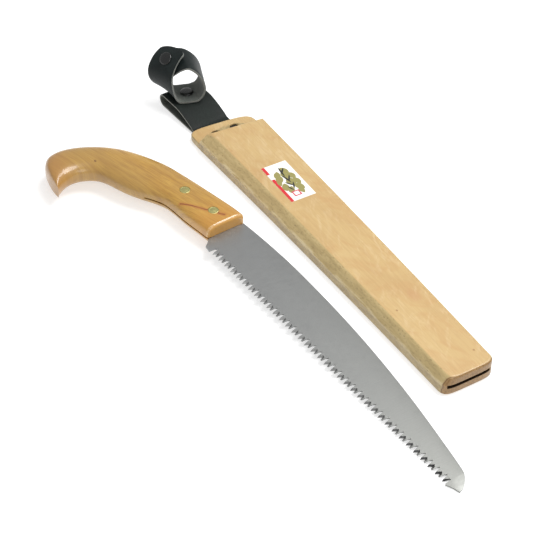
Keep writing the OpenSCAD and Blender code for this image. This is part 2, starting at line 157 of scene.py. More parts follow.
def carve(obj, cutters, angle):
    """Cuts the cutters out of obj, one after another, removes them, and shades obj again."""
    for cutter in cutters:
        modifier = obj.modifiers.new("carve", "BOOLEAN")
        modifier.operation = "DIFFERENCE"
        modifier.solver = "EXACT"
        modifier.object = cutter
        depsgraph = bpy.context.evaluated_depsgraph_get()
        carved = bpy.data.meshes.new_from_object(obj.evaluated_get(depsgraph))
        obj.modifiers.remove(modifier)
        obj.data = carved
        bpy.data.objects.remove(cutter)
    tidy(obj.data, angle)
    return obj


def prism(name, outline, z0, z1, matrix):
    """A straight-sided cutter over a plane outline."""
    rings = [[(x, y, z) for x, y in outline] for z in (z0, z1)]
    points, faces = loft(rings)
    return make(name, placed(points, matrix), faces, [])


def bar(x0, y0, x1, y1):
    """Corners of an upright rectangle."""
    return [(x0, y0), (x1, y0), (x1, y1), (x0, y1)]


def circle(x, y, r, segments=48):
    """Points round a circle."""
    turns = [2 * pi * k / segments for k in range(segments)]
    return [(x + r * cos(a), y + r * sin(a)) for a in turns]


def rod(radius, low, high):
    """The profile of a plain cylinder."""
    return [(0, low), (radius, low), (radius, high), (0, high)]


def finish_piece(obj, body, slot, *nodes):
    """Says which body a piece rides on and which CAD nodes it replaces. Its slot is not used."""
    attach(obj, body)
    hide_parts(*nodes)


def fitting(name, profile, matrix, material, body, slot, node):
    """A turned piece, from its profile to what it rides on and replaces. Its slot is not used."""
    points, faces = lathe(profile)
    obj = make(name, placed(points, matrix), faces, [material], 30)
    finish_piece(obj, body, slot, node)


def shade(colour, share):
    """The colour, made darker or lighter by a share."""
    return tuple(share * c for c in colour)


# ---- materials ----
class Shader:
    """A node material with a Principled shader, and short ways to add nodes to it."""

    def __init__(self, name, roughness=0.5, metallic=0, **sockets):
        self.material = bpy.data.materials.new(name)
        self.material.use_nodes = True
        self.tree = self.material.node_tree
        self.main = self.tree.nodes["Principled BSDF"]
        self.main.inputs["Roughness"].default_value = roughness
        self.main.inputs["Metallic"].default_value = metallic
        for key, value in sockets.items():
            self.main.inputs[key.replace("_", " ")].default_value = value
        self.place = self.add("ShaderNodeTexCoord").outputs["Object"]

    def add(self, kind, **properties):
        """A new node of that kind, with its properties set."""
        node = self.tree.nodes.new(kind)
        for key, value in properties.items():
            setattr(node, key, value)
        return node

    def feed(self, socket, value):
        """Links a socket to another node's output, or sets its number or colour."""
        if isinstance(value, bpy.types.NodeSocket):
            self.tree.links.new(value, socket)
        elif hasattr(value, "__len__") and len(value) == 3 and socket.type == "RGBA":
            socket.default_value = (*value, 1)
        else:
            socket.default_value = value

    def math(self, operation, a, b=0):
        node = self.add("ShaderNodeMath", operation=operation)
        self.feed(node.inputs[0], a)
        self.feed(node.inputs[1], b)
        return node.outputs[0]

    def plus(self, a, b):
        return self.math("ADD", a, b)

    def minus(self, a, b):
        return self.math("SUBTRACT", a, b)

    def times(self, a, b):
        return self.math("MULTIPLY", a, b)

    def absolute(self, a):
        return self.math("ABSOLUTE", a)

    def vector(self, operation, a, b=(0, 0, 0), out=0):
        """Vector arithmetic, whose output 1 is the number of a dot product or a length."""
        node = self.add("ShaderNodeVectorMath", operation=operation)
        self.feed(node.inputs[0], a)
        self.feed(node.inputs[1], b)
        return node.outputs[out]

    def stretched(self, scale, turn=0, source=None):
        """The object's coordinates, turned about z and scaled per axis."""
        node = self.add("ShaderNodeMapping")
        self.feed(node.inputs["Vector"], self.place if source is None else source)
        node.inputs["Rotation"].default_value = (0, 0, -turn)
        return self.vector("MULTIPLY", node.outputs[0], scale)

    def noise(self, where, scale=1, detail=3, roughness=0.5, distortion=0):
        node = self.add("ShaderNodeTexNoise")
        self.feed(node.inputs["Vector"], where)
        parts = {"Scale": scale, "Detail": detail, "Roughness": roughness, "Distortion": distortion}
        for key, value in parts.items():
            node.inputs[key].default_value = value
        return node.outputs["Fac"]

    def cells(self, where, scale=1, feature="F1"):
        node = self.add("ShaderNodeTexVoronoi", feature=feature)
        self.feed(node.inputs["Vector"], where)
        node.inputs["Scale"].default_value = scale
        return node.outputs["Distance"]

    def span(self, value, low, high, to_low=0, to_high=1, smooth_ends=True):
        """The value's place from low to high, kept between the two and mapped onto the last two."""
        node = self.add("ShaderNodeMapRange")
        if smooth_ends:
            node.interpolation_type = "SMOOTHSTEP"
        for key, part in (("Value", value), ("From Min", low), ("From Max", high)):
            self.feed(node.inputs[key], part)
        self.feed(node.inputs["To Min"], to_low)
        self.feed(node.inputs["To Max"], to_high)
        return node.outputs["Result"]

    def ramp(self, value, stops):
        """A colour ramp with stops of (position, colour)."""
        node = self.add("ShaderNodeValToRGB")
        elements = node.color_ramp.elements
        while len(elements) < len(stops):
            elements.new(0.5)
        for element, (position, colour) in zip(elements, stops):
            element.position = position
            element.color = (*colour, 1)
        self.feed(node.inputs[0], value)
        return node.outputs["Color"]

    def mix(self, amount, a, b):
        """Colour a turning into colour b as the amount goes from 0 to 1."""
        node = self.add("ShaderNodeMix", data_type="RGBA")
        self.feed(node.inputs[0], amount)
        self.feed(node.inputs[6], a)
        self.feed(node.inputs[7], b)
        return node.outputs[2]

    def tinted(self, base, tints):
        """The colour under tints of (field, low, high, strength, colour)."""
        for field, low, high, strength, colour in tints:
            base = self.mix(self.span(field, low, high, 0, strength), base, colour)
        return base

    def coordinate(self, axis):
        """One of the object's coordinates, in metres in the row frame."""
        node = self.add("ShaderNodeSeparateXYZ")
        self.feed(node.inputs[0], self.place)
        return node.outputs[axis]

    def colour(self, value):
        self.feed(self.main.inputs["Base Color"], value)

    def rough(self, value):
        self.feed(self.main.inputs["Roughness"], value)

    def bump(self, height, strength, distance):
        node = self.add("ShaderNodeBump")
        node.inputs["Strength"].default_value = strength
        node.inputs["Distance"].default_value = distance
        self.feed(node.inputs["Height"], height)
        self.feed(self.main.inputs["Normal"], node.outputs[0])

    def spot(self, centre, radii, edge):
        """1 inside an ellipsoid in the row frame, in metres, and 0 outside it."""
        offset = self.vector("SUBTRACT", self.place, centre)
        inverse = tuple(1 / r for r in radii)
        distance = self.vector("LENGTH", self.vector("MULTIPLY", offset, inverse), out=1)
        return self.span(distance, 1 - edge, 1 + edge, 1, 0)


def tone(attribute, shader):
    """A number stored on the mesh's points."""
    node = shader.add("ShaderNodeAttribute", attribute_name=attribute)
    return node.outputs["Fac"]


def sheath_wood(name):
    """Pale varnished wood, greyer and flecked where its edges face the tooth side."""
    s = Shader(name, roughness=0.42, Coat_Weight=0.2, Coat_Roughness=0.2)
    fibres = s.noise(s.stretched((60, 1100, 1100)), 1, 3, 0.6)
    dash = s.cells(s.stretched((150, 900, 900)))
    end = tone("end", s)
    base = face_wood(s, fibres, dash)
    base = s.mix(s.span(tone("side", s), 0.25, 0.7), base, edge_wood(s))
    base = s.mix(end, base, s.ramp(fibres, [(0.3, (0.17, 0.085, 0.022)), (0.7, (0.35, 0.205, 0.075))]))
    rim = s.times(s.span(end, 0.15, 0.5), s.span(end, 1, 0.7))
    rim = s.times(rim, s.span(tone("side", s), 0.1, 0.6))
    base = s.mix(s.times(rim, 0.9), base, (0.13, 0.052, 0.014))
    base = s.mix(slot_shade(s), base, (0.035, 0.02, 0.01))
    s.colour(base)
    s.rough(s.span(end, 0, 1, 0.44, 0.34))
    s.bump(s.plus(fibres, s.times(dash, 0.6)), 0.15, 0.0002)
    return s.material


def face_wood(s, fibres, dash):
    """The boards' flats: broad figure, silky flames, fine fibres, short dashes and a few knots."""
    broad = s.noise(s.stretched((9, 26, 26)), 1, 4, 0.55, 0.6)
    cloud = s.noise(s.stretched((34, 60, 60), 0.5), 1, 3, 0.6, 1.2)
    silk = s.noise(s.stretched((48, 150, 150), -0.35), 1, 3, 0.6, 1)
    tones = [(0.3, (0.52, 0.345, 0.148)), (0.5, (0.575, 0.4, 0.175)), (0.72, (0.6, 0.43, 0.2))]
    base = s.tinted(s.ramp(broad, tones), [
        (cloud, 0.45, 0.7, 0.7, (0.53, 0.325, 0.135)),
        (silk, 0.48, 0.72, 0.42, (0.69, 0.53, 0.3)),
        (fibres, 0.35, 0.72, 0.38, (0.45, 0.28, 0.115)),
        (dash, 0.1, 0.02, 0.35, (0.36, 0.21, 0.09)),
    ])
    knot = s.spot((0.0819, 0.0096, 0.014), (0.006, 0.0038, 0.004), 0.6)
    base = s.mix(s.times(knot, 0.4), base, (0.5, 0.26, 0.12))
    for centre in ((0.0885, -0.0081, 0.014), (0.1448, 0.0128, 0.014)):
        dot = s.spot(centre, (0.0009, 0.0007, 0.004), 0.4)
        base = s.mix(s.times(dot, 0.7), base, (0.3, 0.14, 0.05))
    return base


def edge_wood(s):
    """The tooth side's colour: streaked and flecked, with a painted highlight along its crease and a
    browner lower edge darkened with painted shade.
    """
    rows = s.noise(s.stretched((60, 420, 420)), 1, 4, 0.62)
    tones = [(0.32, (0.4, 0.295, 0.132)), (0.5, (0.47, 0.355, 0.16)), (0.7, (0.53, 0.41, 0.2))]
    edge = s.ramp(rows, tones)
    height = s.coordinate(2)
    blotch = s.noise(s.stretched((150, 260, 260)), 1, 3, 0.6)
    # painted shade: the upright lower edge is made darker and browner, broken up by blotches
    lower_edge_shade = s.times(s.span(height, 0.0085, 0.006), s.span(blotch, 0.4, 0.65, 0.25, 0.7))
    edge = s.mix(lower_edge_shade, edge, (0.26, 0.185, 0.08))
    fleck = s.cells(s.stretched((170, 420, 420)))
    mottle = s.noise(s.stretched((420, 800, 800)), 1, 3, 0.7)
    edge = s.tinted(edge, [
        (fleck, 0.18, 0.04, 0.7, (0.17, 0.1, 0.04)),
        (mottle, 0.5, 0.68, 0.55, (0.27, 0.185, 0.075)),
    ])
    # painted highlight: a light line along the crease of the side
    crease = s.span(s.absolute(s.minus(height, 0.0086)), 0.0011, 0.0002, 0, 0.6)
    wear_and_highlight = s.times(crease, s.span(rows, 0.4, 0.6))
    edge = s.mix(wear_and_highlight, edge, (0.66, 0.56, 0.36))
    scar = s.spot((0.1056, -0.0206, 0.01), (0.0016, 0.0012, 0.0012), 0.5)
    return s.mix(s.times(scar, 0.8), edge, (0.14, 0.07, 0.025))


def slot_shade(s):
    """1 on the walls of the blade's slot and of the rivet bores, which are dark, and 0 elsewhere."""
    height = s.absolute(s.minus(s.coordinate(2), SHEATH_T / 2 * MM))
    between = s.span(height, SLOT_H * 0.53 * MM, SLOT_H * 0.51 * MM)
    narrowing = s.times(s.minus(END_X * MM, s.coordinate(0)), SLOT_TAPER)
    half_width = s.plus(narrowing, SLOT_SHADE_W / 2 * MM)
    off_middle = s.absolute(s.minus(s.coordinate(1), SLOT_END_Y * MM))
    within = s.span(s.minus(half_width, off_middle), 0, 0.0001)
    covered = s.span(s.coordinate(0), (MOUTH_X + 1) * MM, (MOUTH_X + 4) * MM)
    walls = s.times(s.times(between, within), covered)
    for y in STRAP_RIVET_YS:
        bore = s.spot((STRAP_RIVET_X * MM, y * MM, 0.0042), (0.0037, 0.0037, 0.00125), 0.1)
        walls = s.math("MAXIMUM", walls, bore)
    return walls


def segment_distance(s, x, y, a, b):
    """Distance in the plane from (x, y) to the segment from a to b."""
    dx, dy = b[0] - a[0], b[1] - a[1]
    px = s.minus(x, a[0])
    py = s.minus(y, a[1])
    dot = s.plus(s.times(px, dx), s.times(py, dy))
    h = s.span(s.math("DIVIDE", dot, dx * dx + dy * dy), 0, 1, smooth_ends=False)
    ex = s.minus(px, s.times(h, dx))
    ey = s.minus(py, s.times(h, dy))
    return s.math("SQRT", s.plus(s.times(ex, ex), s.times(ey, ey)))


def reach(s, axis):
    """How far a point lies from the saw's origin along an axis of its frame, in metres."""
    return s.minus(s.vector("DOT_PRODUCT", s.place, tuple(axis), out=1), SAW_ORIGIN.dot(axis) * MM)


def handle_wood():
    """Orange varnished wood with long grain, redder at the front and hook, and with painted shade, dull and
    greenish, along the belly.
    """
    s = Shader("varnished_wood", roughness=0.36, Coat_Weight=0.55, Coat_Roughness=0.12)
    along, across = reach(s, SAW_X), reach(s, SAW_Y)
    plan = s.add("ShaderNodeCombineXYZ")
    s.feed(plan.inputs[0], along)
    s.feed(plan.inputs[1], across)
    bands = s.noise(s.stretched((26, 420, 420), GRAIN_TURN, plan.outputs[0]), 1, 4, 0.55, 0.5)
    fibres = s.noise(s.stretched((90, 1500, 1500), GRAIN_TURN, plan.outputs[0]), 1, 3, 0.6)
    cloud = s.noise(s.stretched((24, 48, 48)), 1, 3, 0.6, 0.8)
    tones = [(0.28, (0.36, 0.18, 0.028)), (0.5, (0.49, 0.275, 0.048)), (0.75, (0.56, 0.34, 0.072))]
    to_hook = s.minus(s.times(along, -0.4), across)
    # painted shade: the belly's edge is darkened towards a dull green brown
    to_belly = s.plus(across, s.times(s.absolute(s.plus(along, 0.06)), 0.25))
    base = s.tinted(s.ramp(bands, tones), [
        (cloud, 0.42, 0.7, 0.45, (0.36, 0.19, 0.045)),
        (fibres, 0.42, 0.72, 0.52, (0.25, 0.115, 0.024)),
        (along, -0.022, 0.01, 0.55, (0.52, 0.23, 0.038)),
        (to_hook, 0.096, 0.118, 0.6, (0.42, 0.16, 0.028)),
        (to_belly, -0.018, -0.034, 0.45, (0.33, 0.2, 0.065)),
    ])
    base = handle_streak(s, base, along, across, cloud)
    base = handle_nose(s, base, along)
    s.colour(base)
    s.rough(s.span(cloud, 0.3, 0.7, 0.3, 0.42))
    s.bump(s.plus(bands, fibres), 0.1, 0.0002)
    return s.material


def handle_streak(s, base, along, across, cloud):
    """A thin red streak with a soft edge, and a small dark knot near the hook."""
    streak = segment_distance(s, along, across, *STREAK[0])
    for a, b in STREAK[1:]:
        streak = s.math("MINIMUM", streak, segment_distance(s, along, across, a, b))
    wobble = s.times(s.minus(cloud, 0.5), 0.0016)
    streak = s.absolute(s.plus(streak, wobble))
    base = s.mix(s.span(streak, 0.0022, 0.0002, 0, 0.55), base, (0.36, 0.1, 0.02))
    broken = s.span(s.noise(s.place, 160, 2, 0.5), 0.35, 0.62, 0.55, 0.95)
    base = s.mix(s.times(s.span(streak, 0.0005, 0.00015), broken), base, (0.21, 0.052, 0.012))
    knot = segment_distance(s, along, across, (-0.0946, -0.0477), (-0.094, -0.0477))
    return s.mix(s.span(knot, 0.0011, 0.0003, 0, 0.8), base, (0.14, 0.06, 0.02))


def handle_nose(s, base, along):
    """A front face made lighter with painted light, and a speckled line along its edge that is a painted
    highlight and partly rubbed varnish.
    """
    # painted light: the front face is made lighter
    base = s.mix(s.span(along, 0.0098, 0.0106, 0, 0.55), base, (0.62, 0.335, 0.09))
    speckle = s.noise(s.place, 1100, 3, 0.7)
    # a speckled light line along the front edge: a painted highlight, partly rubbed varnish
    wear_and_highlight = s.span(s.absolute(s.minus(along, 0.0096)), 0.0011, 0.0002)
    rub_and_highlight = s.times(wear_and_highlight, s.span(speckle, 0.42, 0.6, 0.04, 0.5))
    return s.mix(rub_and_highlight, base, (0.8, 0.64, 0.42))


def leather(name, colour, light, roughness, sheen=0, grain=900, depth=0.25):
    """Strap leather, with pores, a fine grain and places of wear."""
    s = Shader(name, roughness=roughness, Specular_IOR_Level=0.24, Sheen_Weight=sheen, Sheen_Roughness=0.5)
    pores = s.cells(s.place, grain, "SMOOTH_F1")
    fine = s.noise(s.place, 1800, 3, 0.6)
    wear_and_highlight = s.noise(s.place, 70, 4, 0.6, 0.5)
    base = s.mix(s.span(wear_and_highlight, 0.42, 0.75), colour, light)
    base = s.mix(s.span(pores, 0.25, 0.6, 0.35, 0), base, shade(colour, 0.5))
    s.colour(base)
    s.rough(s.span(wear_and_highlight, 0.3, 0.7, roughness - 0.06, roughness + 0.08))
    s.bump(s.plus(pores, s.times(fine, 0.5)), depth, 0.0002)
    return s.material


def cut_edge(name, colour):
    """The pale cut edge of a strap, where its fibres show in layers."""
    s = Shader(name, roughness=0.75)
    layers = s.noise(s.stretched((500, 500, 2600)), 1, 3, 0.6)
    s.colour(s.ramp(layers, [(0.3, shade(colour, 0.5)), (0.7, colour)]))
    s.bump(layers, 0.3, 0.0002)
    return s.material


def metal(name, colour, roughness, metallic=1, coat=0):
    """A turned or stamped metal, with fine scratches and dull patches."""
    s = Shader(name, roughness=roughness, metallic=metallic, Coat_Weight=coat, Coat_Roughness=0.1)
    marks = s.noise(s.stretched((700, 2800, 700)), 1, 4, 0.65)
    dull = s.noise(s.place, 260, 3, 0.6)
    s.colour(s.mix(s.span(dull, 0.4, 0.8, 0, 0.35), colour, shade(colour, 0.7)))
    s.rough(s.span(marks, 0.3, 0.7, roughness - 0.07, roughness + 0.08))
    s.bump(marks, 0.06, 0.0001)
    return s.material


def saw_steel(name, heel, tip, roughness):
    """Satin steel whose colour turns from heel to tip as a painted reflection, with cross-ground marks and
    dull clouds.
    """
    s = Shader(name, roughness=roughness, metallic=1)
    along = reach(s, SAW_X)
    marks = s.noise(s.stretched((2600, 160, 160), SAW_TURN), 1, 3, 0.6)
    cloud = s.noise(s.stretched((22, 40, 40)), 1, 4, 0.6, 0.4)
    speck = s.noise(s.place, 1500, 2, 0.6)
    # painted reflection: the tone changes from the heel to the tip
    base = s.mix(s.span(along, 0, 0.28, smooth_ends=False), heel, tip)
    s.colour(s.tinted(base, [
        (marks, 0.35, 0.75, 0.16, shade(tip, 0.75)),
        (cloud, 0.45, 0.8, 0.12, shade(heel, 0.7)),
        (speck, 0.62, 0.8, 0.25, shade(tip, 1.3)),
    ]))
    s.rough(s.span(marks, 0.3, 0.7, roughness - 0.05, roughness + 0.06))
    s.bump(marks, 0.08, 0.0001)
    return s.material


def ink(name, colour):
    """Printed paper: the ink is a little uneven over the paper's fibres."""
    s = Shader(name, roughness=0.55, Coat_Weight=0.15, Coat_Roughness=0.3)
    paper = s.noise(s.place, 1400, 3, 0.6)
    s.colour(s.mix(s.span(paper, 0.3, 0.8, 0, 0.14), colour, shade(colour, 0.8)))
    s.bump(paper, 0.08, 0.0001)
    return s.material


# ---- frames of the CAD's bodies ----
def turn_z(angle):
    return Matrix.Rotation(radians(angle), 4, "Z")


HANDLE_T = 19
BLADE_T = 1.2
FRONT_X = 11
TIP = (283.5, -22)
SAW_TURN_DEG = 3.65
SAW_TURN = radians(SAW_TURN_DEG)
SAW_TILT = asin((HANDLE_T / 2 - BLADE_T / 2) / (TIP[0] - FRONT_X))
SAW_LIFT = HANDLE_T / 2 * cos(SAW_TILT) + FRONT_X * sin(SAW_TILT)
SAW = (
    Matrix.Translation((-54.7, -54.1, SAW_LIFT))
    @ turn_z(SAW_TURN_DEG)
    @ Matrix.Rotation(SAW_TILT, 4, "Y")
)
SAW_ORIGIN = SAW.translation
SAW_X = SAW.to_3x3() @ Vector((1, 0, 0))
SAW_Y = SAW.to_3x3() @ Vector((0, 1, 0))
GRAIN_TURN = radians(14)
# The handle's red streak, as segments in the saw's frame, in metres
STREAK = [
    ((-0.0225, -0.0225), (-0.016, -0.0178)),
    ((-0.016, -0.0178), (-0.006, -0.0114)),
    ((-0.006, -0.0114), (-0.0032, -0.0085)),
    ((-0.0005, -0.007), (0.0022, -0.0062)),
    ((0.0022, -0.0062), (0.0048, -0.004)),
]

HANGER_T = 1.4
HANGER_W = 30.5
HANGER_SKEW = 3
TONGUE_X = -158
WASHER_T = 0.5
STRAP_Y = -3.8
HINGE_X = TONGUE_X - 0.65 - HANGER_T - HANGER_W / 2 * sin(radians(HANGER_SKEW))
HINGE_Z = WASHER_T + HANGER_T
HANGER = Matrix.Translation((HINGE_X, STRAP_Y, HINGE_Z)) @ turn_z(180 + HANGER_SKEW)
LOW_Z = 0.2 + HANGER_T / 2 - HINGE_Z
HIGH_Z = LOW_Z + 7.4 + HANGER_T
SWIVEL_U = 33.7
BAND_T = 1.8
BAND_W = 23
CLAMP = 17.9  # how far the hanger's ends reach into the rebate
LOOP_U = 43.2  # how far out the middle of the loop's bend lies
STRAP_RIVET_X = TONGUE_X + 10.5
STRAP_RIVET_YS = (-7.4, 8.1)
SWIVEL_GAP = 0.25
BAND_Z = HIGH_Z + HANGER_T / 2 + SWIVEL_GAP + BAND_T / 2
BAND = HANGER @ Matrix.Translation((SWIVEL_U, 0, BAND_Z)) @ turn_z(180 - 20 - HANGER_SKEW)

# ---- sheath ----
END_X = 159.5
MOUTH_X = -139
BOARD_T = 5.7
SLOT_H = 2.6
SHEATH_T = 2 * BOARD_T + SLOT_H
END_ROUND = 12
TONGUE_ROUND = 13
EDGE_ROUND = 1.6
SIDE_STEPS = 48
END_ANGLES = [-88 + 4 * k for k in range(45)]
END_POWER = 5
TONGUE_POWER = 4.4
TONGUE_SLANT = 0.09
MOUTH_SLANT = 0.1
NEAR_EDGE = (-25, -20, -4.4)  # y at the mouth, y at the end, and bow
FAR_EDGE = (26, 20, -2.7)
BEVEL_MOUTH = 8
BEVEL_END = 4.5
SLOT_MOUTH_W = 41.2
SLOT_END_W = 33
SLOT_END_Y = -0.4
SLOT_SHADE_W = 33.1
SLOT_TAPER = 0.0137
SHANK_HOLE_R = 1.65
REBATE = bar(TONGUE_X - 5, STRAP_Y - HANGER_W / 2 - 0.3, TONGUE_X + 18.5, STRAP_Y + HANGER_W / 2 + 0.3)
SINK = [
    (0, BOARD_T - 1.4), (3.5, BOARD_T - 1.4), (3.5, BOARD_T - 0.45),
    (4, BOARD_T + 0.05), (4, 8), (0, 8),
]


def from_mouth(x):
    """The share of the sheath's straight part before x."""
    return max((x - MOUTH_X) / (END_X - END_ROUND - MOUTH_X), 0)


def bowed(a, b, bow, t):
    return a + (b - a - bow) * t + bow * t * t


def near_y(x):
    return bowed(*NEAR_EDGE, from_mouth(x))


def far_y(x):
    return bowed(*FAR_EDGE, from_mouth(x))


def bevel_w(x):
    return BEVEL_MOUTH + (BEVEL_END - BEVEL_MOUTH) * min(from_mouth(x), 1)


def round_end(x0, depth, inset, near_inset, side):
    """A squared-off end: from the tooth side to the spine side for side = 1, and back for -1."""
    low, high = near_y(x0) + near_inset, far_y(x0) - inset
    points = []
    for angle in END_ANGLES:
        out, across = squircle(angle, END_POWER if side > 0 else TONGUE_POWER)
        y = (low + high) / 2 + side * (high - low) / 2 * across
        slant = TONGUE_SLANT * y if side < 0 else 0
        points.append((x0 + side * (depth - inset) * out + slant, y))
    return points


def sheath_outline(inset, bevel, tongue):
    """The sheath's outline moved in by inset, and by bevel times its bevel on the tooth side."""
    start = TONGUE_X + TONGUE_ROUND if tongue else MOUTH_X + inset
    stop = END_X - END_ROUND
    slant = 0 if tongue else MOUTH_SLANT
    xs = [start + (stop - start) * k / SIDE_STEPS for k in range(SIDE_STEPS + 1)]
    near = [(x, near_y(x) + inset + bevel * bevel_w(x)) for x in xs]
    far = [(x, far_y(x) - inset) for x in reversed(xs)]
    near[0] = (near[0][0] + slant * near[0][1], near[0][1])
    far[-1] = (far[-1][0] + slant * far[-1][1], far[-1][1])
    outline = near + round_end(stop, END_ROUND, inset, inset + bevel * BEVEL_END, 1) + far
    if tongue:
        outline += round_end(start, TONGUE_ROUND, inset, inset, -1)
    return outline


def ring_at(z, inset, bevel, tongue):
    return [(x, y, z) for x, y in sheath_outline(inset, bevel, tongue)]


def mark_wood(mesh):
    """Stores how far each point faces the sheath's edges (side) and its drain end (end)."""
    side = mesh.attributes.new("side", "FLOAT", "POINT")
    end = mesh.attributes.new("end", "FLOAT", "POINT")
    sides, ends = [], []
    for v in mesh.vertices:
        faces_end = ease((v.normal.x - 0.15) / 0.5) if v.co.x > 0.14 else 0
        faces_side = ease((abs(v.normal.y) - 0.1) / 0.35)
        ends.append(faces_end)
        sides.append(faces_side * (1 - faces_end))
    side.data.foreach_set("value", sides)
    end.data.foreach_set("value", ends)


def rounding(radius, steps=6):
    """(inset, drop) along a quarter circle, from the side of a board to its flat."""
    turns = [pi / 2 * k / steps for k in range(1, steps + 1)]
    return [(radius * (1 - cos(a)), radius * (1 - sin(a))) for a in turns]


def front_board(wood):
    """The board over the slot, with rounded edges and a bevel that grows towards its flat."""
    bottom = BOARD_T + SLOT_H
    levels = [(bottom + (BOARD_T - EDGE_ROUND) * k / 4, 0) for k in range(5)]
    levels += [(SHEATH_T - drop, inset) for inset, drop in rounding(EDGE_ROUND)]
    levels += [(SHEATH_T, EDGE_ROUND + extra) for extra in (0.8, 2.5, 6)]
    points, faces = loft([ring_at(z, inset, (z - bottom) / BOARD_T, False) for z, inset in levels])
    board = make("front_board_wood", points, faces, [wood], 50)
    mark_wood(board.data)
    return board


def back_board(wood):
    """The board under the slot, whose tongue is rounded all round and takes the hanger's ends."""
    rings = [ring_at(0, EDGE_ROUND, 0, True)]
    for inset, drop in reversed(rounding(EDGE_ROUND)[:-1]):
        rings.append(ring_at(drop, inset, 0, True))
    full = ring_at(EDGE_ROUND, 0, 0, True)
    rings.append(full)
    for inset, drop in [(0, 0.9)] + rounding(0.9, 4) + [(2.5, 0)]:
        inner = ring_at(BOARD_T - drop, inset, 0, True)
        ring = []
        for (x, y, _), (xi, yi, z) in zip(full, inner):
            share = ease((MOUTH_X + MOUTH_SLANT * y - 0.5 - x) / 3)
            lift = z + (BOARD_T - z) * (1 - share) if inset or drop < 0.9 else z
            ring.append((x + (xi - x) * share, y + (yi - y) * share, lift))
        rings.append(ring)
    points, faces = loft(rings)
    board = make("back_board_wood", points, faces, [wood], 50)
    cutters = [prism("rebate", REBATE, -1, WASHER_T + 2 * HANGER_T, Matrix.Identity(4))]
    for y in STRAP_RIVET_YS:
        at = Matrix.Translation((STRAP_RIVET_X, y, 0))
        cutters.append(prism("shank_hole", circle(0, 0, SHANK_HOLE_R), 1, 6, at))
        points, faces = lathe(SINK)
        cutters.append(make("sink", placed(points, at), faces, []))
    carve(board, cutters, 30)
    mark_wood(board.data)
    return board


def rail(name, side, wood):
    """The strip between the boards on one side of the slot."""
    mid = (near_y(MOUTH_X) + far_y(MOUTH_X)) / 2
    start = (MOUTH_X, mid + side * SLOT_MOUTH_W / 2)
    stop = (END_X + 5, SLOT_END_Y + side * SLOT_END_W / 2)

    def slot_y(x):
        return start[1] + (stop[1] - start[1]) * (x - start[0]) / (stop[0] - start[0])

    outer = [(x, y) for x, y in sheath_outline(0, 0, False) if (y - slot_y(x)) * side > 0.02]
    inner = [(x, slot_y(x)) for x, _ in reversed(outer)]
    rings = [[(x, y, z) for x, y in outer + inner] for z in (BOARD_T, BOARD_T + SLOT_H)]
    points, faces = loft(rings)
    piece = make(name, points, faces, [wood], 40)
    mark_wood(piece.data)
    return piece


# ---- plane plates with printed or ground areas ----
def inside(point, polygon):
    """True if the point lies within the polygon."""
    x, y = point
    hit = False
    for (xa, ya), (xb, yb) in zip(polygon, polygon[1:] + polygon[:1]):
        if (ya > y) != (yb > y) and x < (xb - xa) * (y - ya) / (yb - ya) + xa:
            hit = not hit
    return hit


def middle_of(plan, triangle):
    return tuple(sum(plan[i][axis] for i in triangle) / 3 for axis in (0, 1))


def triangulate(loops, lines):
    """Triangles over closed loops and open lines of plane points, and each point's source."""
    points, edges, source = [], [], []
    for group, path in enumerate(loops + lines):
        first = len(points)
        points += [Vector(p) for p in path]
        source += [(group, k) for k in range(len(path))]
        edges += [(first + k, first + k + 1) for k in range(len(path) - 1)]
        if group < len(loops):
            edges.append((first + len(path) - 1, first))
    verts, _, tris, origin, _, _ = delaunay_2d_cdt(points, edges, [], 0, 1e-6)
    tags = [source[o[0]] if o else None for o in origin]
    return [(v.x, v.y) for v in verts], [tuple(t) for t in tris], tags


def plate(name, plan, tris, tops, bottoms, matrix, materials, slots_top, slots_bottom):
    """A solid over triangles in plan, with a top and a bottom height at each point."""
    n = len(plan)
    points = [(x, y, z) for (x, y), z in zip(plan, tops)]
    points += [(x, y, z) for (x, y), z in zip(plan, bottoms)]
    faces = [tuple(t) for t in tris] + [tuple(i + n for i in reversed(t)) for t in tris]
    used = {(a, b): True for t in tris for a, b in zip(t, t[1:] + t[:1])}
    walls = [(b, a, a + n, b + n) for a, b in used if (b, a) not in used]
    slots = slots_top + slots_bottom + [0] * len(walls)
    return make(name, placed(points, matrix), faces + walls, materials, 20, slots)


# ---- blade ----
PITCH = 7
DEPTH = 6
FIRST_GULLET = 23.5
GULLETS = 36
TOOTH_SET = 0.32
# Ridge lines of a pair's first and second tooth, in pitches along and depths up
A_RIDGE = [(0.235, 0.26), (0.35, 0.52), (0.48, 0.82), (0.61, 1.08), (0.64, 0.92), (0.6, 0.7), (0.52, 0.5)]
B_RIDGE = [(0.72, 0.62), (0.765, 0.42), (0.74, 0.24)]
GROUND_PHASE = 0.605  # a tooth's ground face ends here, in pitches from its gullet
GROUND_Z = 0.36
SPINE_Z = 0.42
SPINE_W = 0.7
SPINE = [
    (282.5, -19.1), (280.3, -15.9), (275.5, -11.7), (269, -9.2), (240, -4), (210, 0.8), (180, 4.6),
    (150, 7.5), (120, 9.4), (90, 10.4), (60, 10.6), (30, 9.2), (11.5, 7.6),
]
FRONT_RIVET = (-3.2, -7.8)
REAR_RIVET = (-32.2, -12.3)
RIVET_BORE_R = 2.55


def tip_y(x):
    return -27.9 + 2.4 * (x - FIRST_GULLET) / (PITCH * GULLETS)


def tooth_pair(x):
    """Plan points of one deep gullet and the two teeth after it, as (point, tooth)."""
    y = tip_y(x)
    shape = [
        (-0.1, 0.66, "B"), (-0.07, 0.93, ""), (0, 1, ""), (0.1, 0.9, ""), (0.15, 0.62, ""),
        (0.29, 0, "A"), (0.41, 0.3, "A"), (0.52, 0.5, "A"), (0.71, 0.1, "B"), (0.82, 0.36, "B"),
    ]
    return [((x + px * PITCH, y + py * DEPTH), tooth) for px, py, tooth in shape]


def mean_phase(plan, triangle):
    """How far a triangle's middle is along its tooth pair, from 0 to 1."""
    return (middle_of(plan, triangle)[0] - FIRST_GULLET) / PITCH % 1


